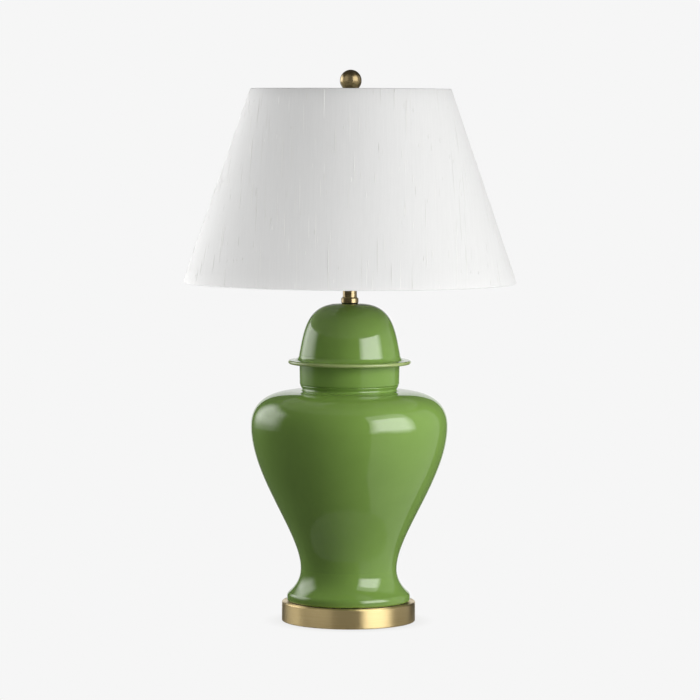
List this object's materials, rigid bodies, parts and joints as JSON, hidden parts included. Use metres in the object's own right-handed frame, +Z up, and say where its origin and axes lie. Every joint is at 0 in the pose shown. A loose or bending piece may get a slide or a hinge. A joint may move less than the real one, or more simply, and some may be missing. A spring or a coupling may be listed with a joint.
{
  "type": "table lamp",
  "caption": "Table lamp with a glazed ginger jar body and domed lid on a round brass base, a conical fabric shade on a harp, and a ball finial.",
  "frame": {"origin": "centre of the felt's underside, on the surface the lamp stands on, which is the bounding box's bottom centre", "axes": "+Z up along the lamp's axis; -Y is the front, where the switch knob points; +Y is the back, where the cord's inlet is"},
  "size_m": [0.46, 0.46, 0.762],
  "materials": {
    "brushed_brass": "satin, fine turned grain, lacquered",
    "green_glaze": "high gloss glaze",
    "plated_steel": "nickel plated, satin",
    "holder_brass": "bright plated brass",
    "aluminium": "drawn, bright",
    "white_linen": "slub linen weave",
    "white_liner": "smooth translucent sheet",
    "frosted_bulb": "soft white coating",
    "black_plastic": "moulded, satin",
    "brown_phenolic": "moulded, dull",
    "dark_rubber": "matte",
    "green_felt": "pressed felt",
    "fibreboard": "pressed board"
  },
  "bodies": {
    "lamp": {"felt_pad": "green_felt", "base_cover": "fibreboard", "base_pan": "brushed_brass", "cord_bushing": "black_plastic", "rod_washer": "plated_steel", "lock_washer": "plated_steel", "rod_nut": "plated_steel", "threaded_rod": "plated_steel", "foot_gasket": "dark_rubber", "jar_body": "green_glaze", "jar_lid": "green_glaze", "lid_gasket": "dark_rubber", "neck_ring": "brushed_brass", "neck_tube": "brushed_brass", "harp_saddle": "plated_steel", "harp_bow": "plated_steel", "harp_stud": "plated_steel", "socket_cap": "holder_brass", "cap_screw": "holder_brass", "socket_shell": "holder_brass", "shell_liner": "fibreboard", "socket_body": "brown_phenolic", "screw_shell": "aluminium", "centre_contact": "holder_brass", "terminal_screws": "holder_brass"},
    "switch": {"switch_spindle": "holder_brass", "switch_knob": "black_plastic"},
    "bulb": {"bulb_glass": "frosted_bulb", "bulb_cap": "aluminium", "bulb_insulator": "black_plastic", "bulb_contact": "holder_brass"},
    "sleeve_left": {"harp_sleeve_left": "plated_steel"},
    "sleeve_right": {"harp_sleeve_right": "plated_steel"},
    "shade": {"shade_fabric": "white_linen", "shade_liner": "white_liner", "shade_top_ring": "plated_steel", "shade_bottom_ring": "plated_steel", "shade_spider": "plated_steel"},
    "finial": {"finial": "brushed_brass"}
  },
  "joints": [
    {"name": "switch_turn", "type": "hinge", "parent": "lamp", "child": "switch", "pos_m": [0, -0.03, 0.5102], "axis": [0, -1, 0], "continuous": true},
    {"name": "bulb_turn", "type": "hinge", "parent": "lamp", "child": "bulb", "pos_m": [0, 0, 0.53], "axis": [0, 0, 1], "continuous": true},
    {"name": "sleeve_left_lift", "type": "slide", "parent": "lamp", "child": "sleeve_left", "axis": [0, 0, 1], "range_m": [0, 0.012]},
    {"name": "sleeve_right_lift", "type": "slide", "parent": "lamp", "child": "sleeve_right", "axis": [0, 0, 1], "range_m": [0, 0.012]},
    {"name": "shade_swivel", "type": "hinge", "parent": "lamp", "child": "shade", "pos_m": [0, 0, 0.722], "axis": [0, 0, 1], "continuous": true},
    {"name": "finial_turn", "type": "hinge", "parent": "lamp", "child": "finial", "pos_m": [0, 0, 0.724], "axis": [0, 0, 1], "continuous": true}
  ]
}
